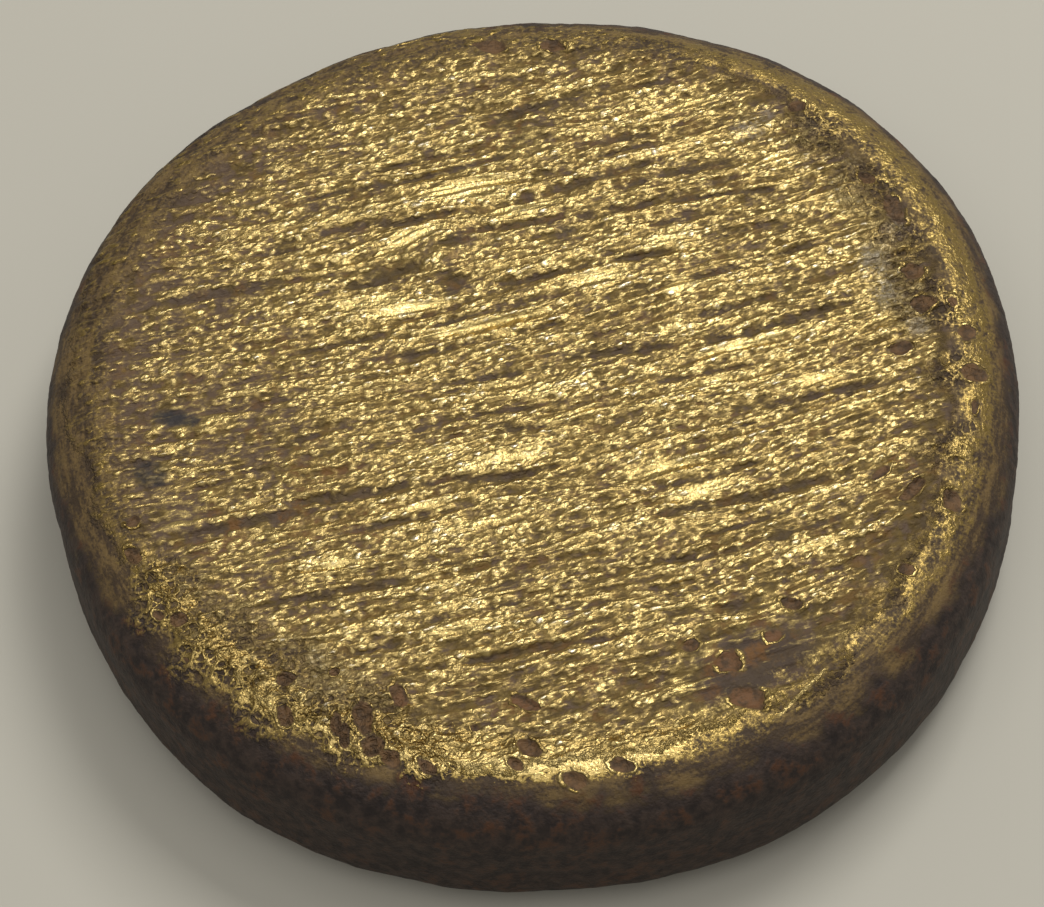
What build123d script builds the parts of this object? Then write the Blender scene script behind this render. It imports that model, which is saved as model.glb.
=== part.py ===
from build123d import *
import os
from math import asin, atan2, cos, degrees, radians, sin, sqrt

os.makedirs("parts", exist_ok=True)

# A round cast ingot, in mm, lying on its flat base with the grained face up
WIDTH = 162.0  # twice the reach of the lobes from the middle, at the base
THICKNESS = 31.0  # base to face
SHOULDER_RADIUS = 11.0  # round between the face and the wall
FOOT_RADIUS = 9.0  # round between the wall and the base
MOULD_DRAFT = 2.0  # degrees that the wall leans in towards the face

# The hand-shaped outline: round lobes joined by flatter sides
LOBE_TURNS = (30.0, 160.0, 231.0, 302.0)  # directions of the lobes, degrees from +X
LOBE_REACH = 10.0  # from the middle to the hub of a lobe's arc
SIDE_SLACK = 9.0  # by which the radius of a side is more than half the width

# The swelling that a knot in the grain leaves on the face
KNOT_X = -14.0
KNOT_Y = 24.0
KNOT_WIDTH = 17.0  # where it leaves the face
KNOT_RISE = 1.1  # above the face
KNOT_ROOT = 3.0  # depth to which it is rooted in the disc

# The deepest lines of the grain, as grooves along the face: where each starts and ends, from the middle
GRAIN_LINES = (
    ((-6.5, 49.5), (17.5, 55.5)),
    ((7.5, 43.0), (30.5, 47.0)),
    ((-40.5, 36.0), (3.5, 44.0)),
    ((-41.5, 28.5), (-9.5, 33.0)),
    ((-3.5, 33.0), (18.5, 38.5)),
    ((12.5, 34.0), (37.5, 39.0)),
    ((-5.5, 28.5), (45.5, 32.0)),
    ((-62.5, 18.0), (-34.5, 21.5)),
    ((17.5, 25.5), (33.5, 28.0)),
    ((-5.5, 17.0), (26.5, 22.0)),
    ((21.5, 14.5), (49.5, 21.0)),
    ((-41.5, 6.5), (2.5, 13.0)),
    ((1.5, 1.0), (33.5, 3.5)),
    ((30.5, 3.0), (53.5, 9.0)),
    ((-17.5, -1.5), (2.5, 0.0)),
    ((16.5, -4.5), (37.5, -1.5)),
    ((32.5, -11.0), (56.5, -6.5)),
    ((-43.5, -10.5), (-27.5, -7.5)),
    ((-30.5, -20.5), (3.5, -18.0)),
    ((11.5, -24.0), (41.5, -18.0)),
    ((-58.5, -25.5), (-34.5, -22.0)),
    ((-35.5, -28.0), (-5.5, -23.5)),
    ((12.5, -29.0), (48.5, -23.5)),
    ((7.5, -37.0), (29.5, -35.5)),
    ((28.5, -35.5), (49.5, -30.5)),
    ((-44.5, -39.0), (-19.5, -36.0)),
    ((-24.5, -44.0), (0.5, -41.0)),
    ((-37.5, -49.0), (-21.5, -46.5)),
    ((-15.5, -51.0), (11.5, -48.5)),
    ((15.5, -47.5), (33.5, -44.0)),
)
GRAIN_WIDTH = 2.8  # across a groove
GRAIN_FLOOR = 0.8  # across the floor of a groove
GRAIN_DEPTH = 0.7
GRAIN_RUNOUT = 4.0  # length over which a groove comes up to the face at either end

# Open gas blisters round the edge of the face: direction in degrees, distance in from the edge, width, depth
BLISTERS = (
    (6.3, 17.0, 3.8, 0.7),
    (11.9, 16.6, 3.8, 0.7),
    (92.3, 14.8, 5.0, 0.8),
    (231.7, 15.4, 3.1, 0.7),
    (243.7, 15.2, 4.8, 0.9),
    (245.9, 11.1, 3.7, 0.8),
    (265.8, 14.9, 3.7, 0.8),
    (295.4, 12.2, 3.6, 0.7),
    (354.5, 10.1, 4.2, 0.7),
)


def turn_of(way):
    """Direction of a vector in the plane of the base, in degrees."""
    return degrees(atan2(way.Y, way.X))


def arc(centre, radius, start, end):
    """Arc about a centre, run forward from one direction to another."""
    return CenterArc(centre, radius, start, (end - start) % 360)


def outline():
    """Closed outline at the base: each lobe's arc runs smoothly into the wider arc of the next side."""
    lobe_radius = WIDTH / 2 - LOBE_REACH
    side_radius = WIDTH / 2 + SIDE_SLACK
    hubs = [Vector(LOBE_REACH, 0).rotate(Axis.Z, turn) for turn in LOBE_TURNS]
    centres = []
    for hub, following in zip(hubs, hubs[1:] + hubs[:1]):
        chord = following - hub
        fall = sqrt((side_radius - lobe_radius) ** 2 - (chord.length / 2) ** 2)
        centres.append((hub + following) / 2 + chord.normalized().rotate(Axis.Z, 90) * fall)
    arcs = []
    for place, hub in enumerate(hubs):
        before = centres[place - 1]
        centre = centres[place]
        following = hubs[(place + 1) % len(hubs)]
        arcs.append(arc(hub, lobe_radius, turn_of(hub - before), turn_of(hub - centre)))
        arcs.append(arc(centre, side_radius, turn_of(hub - centre), turn_of(following - centre)))
    return make_face(arcs)


def cap_radius(width, height):
    """Radius of the ball whose cap has this width and height."""
    return (width**2 / 4 + height**2) / (2 * height)


def blister(body, direction, inset, width, depth):
    """Ball that hollows one blister, seated square to the skin straight below its place."""
    reach = WIDTH / 2 - inset
    across = reach * cos(radians(direction))
    away = reach * sin(radians(direction))
    drop = Axis((across, away, 2 * THICKNESS), (0, 0, -1))
    seat, normal = body.find_intersection_points(drop)[0]
    if normal.Z < 0:
        normal = -normal
    radius = cap_radius(width, depth)
    return Pos(*(seat + normal * (radius - depth))) * Sphere(radius)


def grain_line(start, end):
    """Upturned roof with hipped ends that cuts one groove of the grain into the face."""
    course = Vector(*end) - Vector(*start)
    middle = (Vector(*start) + Vector(*end)) / 2
    side = (GRAIN_WIDTH - GRAIN_FLOOR) / 2
    far_end = course.length - GRAIN_RUNOUT
    roof = Wedge(course.length, GRAIN_DEPTH, GRAIN_WIDTH, GRAIN_RUNOUT, side, far_end, side + GRAIN_FLOOR)
    seat = Pos(middle.X, middle.Y, THICKNESS - GRAIN_DEPTH / 2)
    return seat * Rot(0, 0, turn_of(course)) * Rot(-90, 0, 0) * roof


# The blank: the outline drawn up to the face, leaning in by the mould's draft
blank = extrude(outline(), THICKNESS, taper=MOULD_DRAFT)

# Shoulder and foot, each rolled round its whole edge
disc = fillet(blank.faces().sort_by(Axis.Z)[-1].edges(), SHOULDER_RADIUS)
disc = fillet(disc.faces().sort_by(Axis.Z)[0].edges(), FOOT_RADIUS)

# The knot: the cap of a large ball, rooted in the face
knot_radius = cap_radius(KNOT_WIDTH, KNOT_RISE)
root = degrees(asin((knot_radius - KNOT_RISE - KNOT_ROOT) / knot_radius))
cap = Sphere(knot_radius, arc_size1=root, align=(Align.CENTER, Align.CENTER, Align.MAX))
knot = Pos(KNOT_X, KNOT_Y, THICKNESS + KNOT_RISE) * cap

# The grooves stop at the knot, and the blisters come last
grooves = [grain_line(*ends) for ends in GRAIN_LINES]
ingot = disc - grooves + knot - [blister(disc, *place) for place in BLISTERS]

# The origin goes to the middle of the base
box = ingot.bounding_box()
ingot = Pos(-box.center().X, -box.center().Y, -box.min.Z) * ingot

export_step(ingot, "parts/ingot.step")
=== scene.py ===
import math
import bpy
import numpy as np
from mathutils import Euler, Matrix, Vector


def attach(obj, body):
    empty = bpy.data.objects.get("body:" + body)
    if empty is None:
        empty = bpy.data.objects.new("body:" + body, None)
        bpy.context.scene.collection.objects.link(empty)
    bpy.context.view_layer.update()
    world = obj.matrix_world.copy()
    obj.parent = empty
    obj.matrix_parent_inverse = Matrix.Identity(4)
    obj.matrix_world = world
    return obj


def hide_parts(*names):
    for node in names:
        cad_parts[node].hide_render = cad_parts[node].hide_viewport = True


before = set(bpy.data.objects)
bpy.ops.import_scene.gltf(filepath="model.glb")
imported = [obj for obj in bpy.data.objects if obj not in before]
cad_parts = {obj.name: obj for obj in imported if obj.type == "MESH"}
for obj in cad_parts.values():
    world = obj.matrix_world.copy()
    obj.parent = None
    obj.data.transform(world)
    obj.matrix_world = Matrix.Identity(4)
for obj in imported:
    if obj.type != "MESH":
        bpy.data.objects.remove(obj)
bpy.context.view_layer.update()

# THE BLANK
# The whole ingot is one casting of gold, poured into a hand-shaped mould: a thick disc with a flat base,
# a rounded foot, a wall that leans in with the mould's draft, a broad shoulder and a level face.
mm = 0.001
face_height = 31.0
shoulder_radius = 11.0
foot_radius = 9.0
mould_lean = math.radians(2.0)
grain_turn = math.radians(10.0)
steps_along_grain = 165
steps_across_grain = 350
shoulder_rows = 24
wall_rows = 9
foot_rows = 10

# The outline is read from the edge of the solid's flat base.
solid = np.array([corner.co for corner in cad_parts["ingot"].data.vertices]) / mm
base_edge = solid[solid[:, 2] < 0.001]
edge_turn = np.arctan2(base_edge[:, 1], base_edge[:, 0])
edge_reach = np.hypot(base_edge[:, 0], base_edge[:, 1])
round_the_edge = np.argsort(edge_turn)
edge_turn = edge_turn[round_the_edge]
edge_reach = edge_reach[round_the_edge]
foot_top = foot_radius * (1 + math.sin(mould_lean))
shoulder_foot = face_height - shoulder_radius * (1 - math.sin(mould_lean))
wall_setback = math.tan(mould_lean) * (shoulder_foot - foot_top)
face_inset = (shoulder_radius - foot_radius) * math.cos(mould_lean) + wall_setback


def base_reach(turn):
    """How far the flat base runs out from the middle in each direction."""
    return np.interp(turn, edge_turn, edge_reach, period=2 * math.pi)


def face_reach(turn):
    """How far the level face runs out from the middle in each direction."""
    return base_reach(turn) - face_inset


def ring_of_points(reach, turn, height):
    """Points at one height, each at its reach from the middle in its own direction."""
    return np.column_stack([reach * np.cos(turn), reach * np.sin(turn), np.full(reach.size, height)])


# The face is a square net drawn out to the outline, finer across the grain than along it.
u, v = np.meshgrid(np.linspace(-1, 1, steps_along_grain + 1), np.linspace(-1, 1, steps_across_grain + 1))
net_x = u * np.sqrt(1 - v**2 / 2)
net_y = v * np.sqrt(1 - u**2 / 2)
net_turn = (np.arctan2(net_y, net_x) + grain_turn).ravel()
net_part = np.hypot(net_x, net_y).ravel()
net_reach = net_part * face_reach(net_turn)
points = [ring_of_points(net_reach, net_turn, face_height)]
from_edge = [net_reach - face_reach(net_turn)]
unrolled = [np.column_stack([net_turn, net_reach])]
numbers = np.arange(net_reach.size).reshape(u.shape)
corners = [numbers[:-1, :-1], numbers[:-1, 1:], numbers[1:, 1:], numbers[1:, :-1]]
panels = np.stack(corners, axis=-1).reshape(-1, 4).tolist()
ring = np.concatenate([numbers[0, :-1], numbers[:-1, -1], numbers[-1, :0:-1], numbers[:0:-1, 0]])
ring_turn = net_turn[ring]


def section(turn):
    """Reach, height and length from the face's edge for each row down the shoulder, wall and foot."""
    rows = []
    hub = face_reach(turn)
    for tilt in np.linspace(math.pi / 2, mould_lean, shoulder_rows + 1)[1:]:
        height = face_height - shoulder_radius * (1 - math.sin(tilt))
        rows.append((hub + shoulder_radius * math.cos(tilt), height, shoulder_radius * (math.pi / 2 - tilt)))
    shoulder_length = rows[-1][2]
    for share in np.linspace(0, 1, wall_rows + 1)[1:]:
        drop = share * (shoulder_foot - foot_top)
        reach = hub + shoulder_radius * math.cos(mould_lean) + math.tan(mould_lean) * drop
        rows.append((reach, shoulder_foot - drop, shoulder_length + drop))
    wall_length = rows[-1][2]
    for tilt in np.linspace(mould_lean, -math.pi / 2, foot_rows + 1)[1:]:
        reach = base_reach(turn) + foot_radius * math.cos(tilt)
        height = foot_radius * (1 + math.sin(tilt))
        rows.append((reach, height, wall_length + foot_radius * (mould_lean - tilt)))
    return rows


# Rows follow down the shoulder, wall and foot; below the shoulder every other column ends.
last_ring = ring
total = net_reach.size
for row, (reach, height, length) in enumerate(section(ring_turn)):
    halving = row == shoulder_rows
    if row >= shoulder_rows:
        reach = reach[::2]
        turn = ring_turn[::2]
    else:
        turn = ring_turn
    points.append(ring_of_points(reach, turn, height))
    from_edge.append(np.full(reach.size, length))
    unrolled.append(np.column_stack([turn, face_reach(turn) + length]))
    next_ring = total + np.arange(reach.size)
    total += reach.size
    if halving:
        upper, middle, following = last_ring[::2], last_ring[1::2], np.roll(last_ring[::2], -1)
        lower, beside = next_ring, np.roll(next_ring, -1)
        panels += np.column_stack([upper, lower, middle]).tolist()
        panels += np.column_stack([middle, lower, beside]).tolist()
        panels += np.column_stack([middle, beside, following]).tolist()
    else:
        beside, following = np.roll(next_ring, -1), np.roll(last_ring, -1)
        panels += np.column_stack([last_ring, next_ring, beside, following]).tolist()
    last_ring = next_ring
side_panels = len(panels)
points.append(np.zeros((1, 3)))
from_edge.append(from_edge[-1][:1])
unrolled.append(np.zeros((1, 2)))
panels += [[int(a), total, int(b)] for a, b in zip(last_ring, np.roll(last_ring, -1))]
points = np.concatenate(points)
from_edge = np.concatenate(from_edge)
unrolled = np.concatenate(unrolled)

skin_mesh = bpy.data.meshes.new("ingot_skin")
skin_mesh.from_pydata((points * mm).tolist(), [], panels)
skin_mesh.validate()
skin_mesh.polygons.foreach_set("use_smooth", [True] * len(skin_mesh.polygons))
skin = bpy.data.objects.new("ingot_skin", skin_mesh)
bpy.context.scene.collection.objects.link(skin)

# One map for the finish: the face in the middle with the shoulder, wall and foot unrolled round it,
# and the base, which hardly shows, in a corner.
wall_thrift = 0.5
shoulder_reach = shoulder_radius * (math.pi / 2 - mould_lean)
map_middle = 0.5
map_half_width = 0.49
base_map_middle = 0.082
base_map_half_width = 0.075
past_shoulder = np.maximum(from_edge - shoulder_reach, 0)
spread = unrolled[:, 1] - (1 - wall_thrift) * past_shoulder
spread = map_half_width * spread / spread.max()
main_map = map_middle + np.column_stack([spread * np.cos(unrolled[:, 0]), spread * np.sin(unrolled[:, 0])])
base_map = base_map_middle + base_map_half_width * points[:, :2] / np.abs(points[:, :2]).max()
finish_map = skin_mesh.uv_layers.new(name="OFBake")
loop_points = np.empty(len(skin_mesh.loops), dtype=np.int32)
skin_mesh.loops.foreach_get("vertex_index", loop_points)
on_base = np.zeros(len(skin_mesh.loops), dtype=bool)
on_base[skin_mesh.polygons[side_panels].loop_start:] = True
corner_map = np.where(on_base[:, None], base_map[loop_points], main_map[loop_points])
finish_map.data.foreach_set("uv", corner_map.ravel())

# MARKS OF THE MOULD AND OF USE
# The mould's face was wood: its deepest grain lines, and a knot, stand in the metal. Gas blisters opened
# round the rim as it set, and handling has rubbed some places bright and left oxide in others. Some bright
# and dull places are painted highlight and painted shade, on the knot's sides and across the face.
# Lines of the grain: points along each in mm, then its half width and depth.
grain_lines = (
    (((-44, 54.4), (-36, 55.6), (-28, 57.4), (-18, 59.2)), 0.5, 0.4),
    (((-13, 57.6), (-4, 58.8), (4, 59.6)), 0.5, 0.5),
    (((18, 56.4), (26, 57), (34, 59)), 0.6, 0.4),
    (((-6, 50.6), (-1, 52), (4, 53.9), (10, 55), (18, 56.4)), 1.0, 0.8),
    (((-28, 43.4), (-18, 44.4), (-8, 46), (-2, 47.4)), 0.4, 0.4),
    (((8, 44.6), (16, 45.6), (22, 46.4), (30, 47.8)), 1.0, 0.8),
    (((8, 41.8), (14, 42.6), (22, 44.4), (30, 46.4)), 0.5, 0.5),
    (((-40, 37.2), (-30, 39.4), (-20, 40.4), (-10, 42), (-2, 44), (4, 46)), 0.7, 0.7),
    (((34, 45.4), (44, 48)), 0.7, 0.5),
    (((-40, 30), (-32, 31.2), (-24, 32.2), (-16, 33), (-9, 34.2)), 1.0, 0.8),
    (((-3, 34.4), (4, 35.4), (9, 36.6), (13, 38.4), (19, 39.8), (25, 41)), 1.1, 1.0),
    (((13, 35.4), (20, 36.6), (28, 38), (38, 40)), 0.8, 0.7),
    (((28, 34.6), (36, 36), (44, 37)), 0.5, 0.4),
    (((13, 30.8), (22, 32.2), (30, 32.6), (46, 33.2)), 0.7, 0.7),
    (((-12, 28.8), (-4, 29.8), (4, 30.2), (10, 30.6), (16, 31.8), (21, 33.4)), 0.9, 0.7),
    (((18, 26.8), (24, 28), (34, 29.2)), 0.8, 0.6),
    (((4, 24.4), (10, 25.4)), 0.8, 0.5),
    (((48, 25.4), (58, 26.4)), 0.6, 0.4),
    (((-46, 27.8), (-36, 28.6), (-28, 29.4)), 0.5, 0.4),
    (((-62, 19.4), (-52, 20.8), (-44, 21.6), (-34, 22.6)), 0.9, 0.7),
    (((-5, 18.3), (6, 19.6), (12, 20.7), (18, 21.8), (27, 23)), 0.9, 0.7),
    (((27, 23.2), (36, 25.2), (46, 27)), 0.4, 0.4),
    (((22, 15.6), (28, 16.8), (36, 18.6), (44, 20.6), (54, 22.6)), 0.7, 0.6),
    (((-62, 13.8), (-54, 14.6)), 0.9, 0.4),
    (((-4, 13.8), (4, 15), (12, 16)), 0.6, 0.5),
    (((-41, 7.6), (-32, 9), (-23, 10.4), (-14, 11.4), (-8, 12.8), (3, 14.4)), 0.6, 0.6),
    (((-2, 8.6), (5, 10), (10, 10.8)), 0.5, 0.4),
    (((-30, 4.6), (-22, 6), (-14, 6.6), (-5, 8.2)), 0.6, 0.5),
    (((24, 8.6), (32, 10.2), (38, 11.6), (46, 13.6)), 0.7, 0.5),
    (((2, 2.5), (9, 3.6), (18, 3.8), (26, 4.4), (34, 4.8), (40, 6.2), (46, 8), (54, 10.2)), 1.0, 0.8),
    (((-16, -0.2), (-8, 0.6), (3, 1.2)), 0.6, 0.6),
    (((17, -3.2), (24, -2.4), (30, -1.6), (38, -0.4)), 0.6, 0.6),
    (((-44, -1), (-36, -0.4)), 0.8, 0.4),
    (((-10, -5.8), (-2, -5.6), (4, -5)), 0.8, 0.5),
    (((-9, -8.9), (-2, -9.4), (3, -8.8)), 1.0, 0.5),
    (((-43, -9.2), (-34, -7.6), (-27, -6.5)), 0.8, 0.6),
    (((-62, -9.8), (-50, -8.6)), 0.6, 0.4),
    (((-26, -9.4), (-18, -8), (-12, -6.8)), 0.5, 0.4),
    (((33, -9.6), (42, -8.2), (50, -6.9), (57, -5.2)), 1.0, 0.8),
    (((24, -13.6), (32, -12.2), (40, -10.2)), 0.5, 0.5),
    (((-40, -19.8), (-32, -19.3), (-24, -18.6), (-14, -17.7), (-6, -17.9), (4, -16.7)), 1.0, 0.7),
    (((12, -22.9), (18, -22.5), (27, -20.8), (34, -18.8), (42, -16.7)), 0.7, 0.6),
    (((-58, -24.4), (-48, -22.6), (-33, -20.9)), 1.1, 0.6),
    (((-35, -26.5), (-26, -24.9), (-16, -23.4), (-5, -22.3)), 0.6, 0.6),
    (((13, -27.6), (20, -26.4), (27, -25.9), (35, -24.8), (42, -23.3), (49, -22.2)), 1.0, 0.8),
    (((20, -32), (28, -30.8), (36, -28.8), (45, -26.4)), 0.5, 0.4),
    (((8, -36), (16, -35), (24, -35.1), (32, -33.6), (40, -31.6), (50, -29.3)), 0.7, 0.6),
    (((-60, -31.4), (-48, -30.6)), 0.7, 0.4),
    (((-20, -33.2), (-12, -32.6), (-4, -31.4)), 0.5, 0.4),
    (((-46, -34.8), (-38, -33.9)), 0.5, 0.4),
    (((-44, -37.6), (-36, -36.4), (-28, -35.6), (-19, -34.5)), 0.8, 0.6),
    (((-12, -38), (0, -36.6)), 0.9, 0.4),
    (((-24, -43), (-16, -42.2), (-8, -40.9), (1, -39.7)), 0.5, 0.6),
    (((-6, -43.8), (2, -42.4), (14, -40.7)), 0.4, 0.4),
    (((-37, -47.6), (-28, -46.6), (-21, -45.4)), 0.7, 0.6),
    (((-15, -49.9), (-6, -48.9), (2, -48.1), (12, -47.2)), 0.9, 0.8),
    (((16, -46.4), (22, -45.2), (28, -44.2), (34, -42.8)), 1.0, 0.8),
    (((-27, 19.8), (-23.6, 21.2), (-20, 22.4), (-18.1, 23.2)), 1.8, 1.0),
    (((-14.6, 20.6), (-11.6, 19.8), (-8.4, 18.8)), 1.7, 1.0),
    (((-13.4, 26.9), (-10.7, 27.6), (-7.4, 28.2)), 1.3, 0.8),
    (((-17.6, 16.5), (-12.9, 17.6), (-9, 18.6), (-6.5, 19.7)), 1.0, 0.6),
    (((-24.8, 14.3), (-20.2, 13.4), (-15.9, 13.4), (-12.6, 14.1), (-9.2, 15.7), (-5.8, 17.7)), 0.6, 0.6),
)
# Places rubbed bright (above 0) or left dull (below 0): middle, half length, half width in mm, amount.
# Some are painted light instead: the arc on the knot's upper left is a painted highlight, the dull places
# round the knot are painted shade, and the broad bright stretch over the middle and right and the broad dull
# stretches over the left and the near side are a painted highlight and painted shade.
wear_and_light_places = (
    (-7, 62.4, 8, 1.6, 1.0), (-22, 60.4, 8, 1.2, 0.7), (6, 56.6, 6, 1.6, 0.9), (20, 60, 5, 1.5, 0.7),
    (30, 52, 10, 2.2, 1.0), (16, 47.6, 5, 1.2, 0.7), (-8, 50.4, 6, 1.2, 0.6), (-8, 44.3, 5, 0.9, 0.6),
    (-11, 41.6, 7, 1.2, 1.2), (-8, 38, 10, 2.2, 1.6), (-30, 34, 7, 1.3, 0.9), (-40, 36, 5, 1.2, 0.6),
    (17, 40.4, 5, 1.2, 0.8), (28, 43, 6, 1.3, 0.7), (40, 45, 5, 2, 0.9), (2, 33.2, 9, 1, 1.4),
    (-17, 29.4, 4, 1.5, 0.8), (-34, 51.4, 10, 1.6, 0.4), (44, 39.6, 6, 1.5, 0.7), (25, 25, 5, 1.8, 1.0),
    (-40, 25.2, 6, 1.4, 0.6), (-26, 16.8, 10, 2, 1.1), (-4, 21.4, 5, 1.5, 0.9), (-1, 25.2, 4, 1.2, 0.6),
    (-7, 10.6, 12, 1.2, 1.0), (-27, 11.8, 6, 1.2, 0.7), (12, 18, 5, 1.1, 1.4), (26, 15.4, 4, 1.2, 1.3),
    (53, 29.4, 5, 1.5, 0.8), (57, 19.4, 6, 2, 0.7), (58, 9.4, 6, 2, 0.5), (22, 6.6, 4, 1, 0.6),
    (31, 7.6, 5, 1, 0.7), (35, 3, 14, 1.3, 1.0), (4, -2.4, 8, 1.2, 0.8), (27, -4, 7, 1.2, 0.9),
    (45, -4.6, 5, 1.5, 1.0), (53, -9.6, 8, 1.2, 0.7), (8, -7, 5, 1.2, 0.8), (-5, -1.2, 9, 0.8, 0.7),
    (42, -1.6, 8, 1.2, 0.6), (-15, -12.4, 6, 1.4, 1.1), (-5, -14.7, 11, 1.4, 1.0),
    (-57, -12.8, 6, 1.2, 0.7), (-44, -19.4, 5, 1, 0.7), (20, -18.4, 9, 1.4, 1.0), (18, -16.2, 4, 1, 0.6),
    (26, -23.3, 5, 1.6, 1.2), (-19, -22.3, 6, 1, 0.8), (-47, -25.4, 12, 1, 0.7), (-10, -26, 11, 1.2, 0.9),
    (12, -27.2, 5, 1.5, 0.9), (40, -26.2, 11, 1, 0.9), (-33, -31.2, 5, 1.7, 1.1), (39, -35.4, 9, 1.4, 1.0),
    (-15, -36.6, 5, 1, 0.6), (-14, -40.2, 9, 1, 0.7), (6, -40.4, 5, 1, 0.6), (-13, -44.2, 8, 1.5, 1.1),
    (2, -44, 7, 1.2, 0.7), (8, -49.2, 12, 1, 0.8), (24, -47.4, 9, 1, 0.8), (44, -42.6, 5, 1, 0.6),
    (-4, -47.2, 7, 1, 0.6), (20, 5, 40, 30, 0.15), (3, 48.5, 5, 3.5, -0.9), (6, 40, 5, 2, -0.6),
    (5, 27, 6, 2.5, -0.5), (-22, 22.2, 5, 1.9, -1.1), (-11, 19.8, 4, 1.6, -1.1),
    (-10.7, 27.5, 3, 1.3, -1.0), (-57, -2, 4, 2.2, -1.3), (31, -53, 11, 5.5, -2.0),
    (24, -59.5, 7, 3.5, -0.9), (-43, -7, 9, 6, -0.5), (-58, -22, 6, 6, -0.7), (62, 31, 4, 5, -0.8),
    (53, -37, 6, 6, -0.6), (14, -9, 2, 8, -0.4), (20.5, 18, 2, 6, -0.3), (42, 13, 7, 2.5, -0.6),
    (-48, 45, 10, 8, -0.4), (-40, -38.5, 8, 2.5, -0.4), (-19, 14.9, 7, 1.0, 1.6), (-22, 26, 2, 1, 1.0),
    (-18.4, 28.2, 2.4, 1.2, 1.0), (-14.6, 30.4, 2.5, 1, 0.8), (-52, 0, 18, 32, -0.4),
    (0, -50, 45, 14, -0.3), (0, 54, 45, 12, -0.3), (38, -44, 20, 14, -0.2), (-42, -30.4, 10, 2.5, -0.5),
    (14, 38, 7, 4, -0.4), (29, 30, 5, 3, -0.4), (46, 10, 7, 3, -0.4), (-30, -10, 4, 3, -0.5),
    (59, -10, 4, 4, -0.5), (-0.5, -40, 3, 4, -0.4), (-60, -12, 3, 3, -0.5), (50, 27, 3, 3, -0.4),
    (0, 19.5, 4, 2, 0.5), (20, 0.5, 3, 2.5, 0.4), (30, 40, 4, 2, 0.3), (30, 49.6, 5, 2.5, 0.3),
    (-20.5, -10, 3, 2, 0.3), (30, -20, 4, 2, 0.3), (-15, -50, 9, 2.5, 0.5), (-33, -50, 6, 2.5, 0.5),
)
# Blisters: place in mm, length, width, direction of the length in degrees, depth.
blisters = (
    (-40.4, -50.2, 3.4, 2.8, 13, 0.6), (-40.7, -55.9, 3.9, 2.8, 101, 0.7), (-28.9, -57.7, 6.1, 3.5, 98, 0.8),
    (-28.0, -62.1, 4.1, 3.4, 36, 0.8), (-25.5, -65.0, 3.6, 2.8, 106, 0.7), (-33.3, -58.2, 4.6, 1.8, 80, 0.6),
    (-31.9, -60.4, 4.6, 1.8, 84, 0.6), (-33.1, -50.0, 1.8, 1.6, 146, 0.5), (-63.8, -26.9, 3.6, 2.4, 121, 0.5),
    (-56.6, -38.7, 3.0, 2.8, 14, 0.5), (-60.0, -37.6, 2.5, 1.7, 138, 0.4), (-63.6, -20.9, 2.8, 2.2, 36, 0.5),
    (-23.4, -54.2, 5.2, 2.4, 104, 0.6), (-4.6, -64.7, 4.4, 3.0, 140, 0.8), (-20.0, -66.2, 4.0, 2.2, 133, 0.6),
    (-6.9, -67.7, 3.4, 1.8, 136, 0.5), (-4.7, -57.4, 5.8, 2.2, 150, 0.5), (1.6, -70.4, 3.9, 2.8, 158, 0.5),
    (-12.4, -60.9, 1.7, 1.4, 146, 0.5), (8.6, -68.8, 4.4, 2.3, 160, 0.4), (63.6, -28.5, 4.3, 3.2, 108, 0.5),
    (57.8, -26.3, 6.1, 2.2, 44, 0.6), (70.9, -5.5, 4.8, 3.6, 174, 0.5), (59.6, -0.1, 4.0, 2.8, 12, 0.5),
    (70.0, -11.9, 3.3, 1.2, 81, 0.5), (53.2, -22.8, 4.3, 1.6, 36, 0.4), (37.1, -44.3, 3.6, 2.2, 150, 0.5),
    (55.0, -40.2, 2.9, 2.2, 146, 0.4), (63.3, 14.5, 4.2, 3.4, 140, 0.6), (61.9, 27.4, 7.7, 3.2, 104, 0.5),
    (63.9, 8.3, 4.4, 3.3, 19, 0.5), (69.0, 8.1, 2.3, 1.6, 116, 0.5), (70.5, 1.9, 3.3, 3.1, 66, 0.4),
    (48.4, 49.5, 3.4, 2.6, 18, 0.5), (58.1, 33.7, 3.2, 2.4, 142, 0.4), (-2.4, 67.4, 6.7, 3.4, 163, 0.6),
    (8.4, 66.8, 4.7, 2.6, 158, 0.5), (26.5, -53.1, 4.4, 3.5, 165, 0.5), (28.4, -59.8, 6.6, 4.0, 160, 0.5),
    (20.8, -50.1, 3.0, 2.2, 20, 0.4), (33.7, -49.5, 3.0, 2.4, 15, 0.4),
)
# Where gas left a net of small blisters: middle, half width in mm, amount.
netted_places = (
    (-58, -34, 6, 1.0), (-51, -43, 7, 1.0), (-41, -52, 8, 1.0), (-30, -58, 8, 1.0), (-18, -64, 7, 0.5),
    (-5, -67, 7, 0.2), (10, -67, 8, 0.2), (62, -30, 5, 0.4), (65, -18, 5, 0.5), (67, -5, 5, 0.5),
    (64, 9, 6, 0.8), (62, 20, 6, 0.8), (58, 32, 6, 0.8), (51, 44, 6, 0.7),
)
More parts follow.
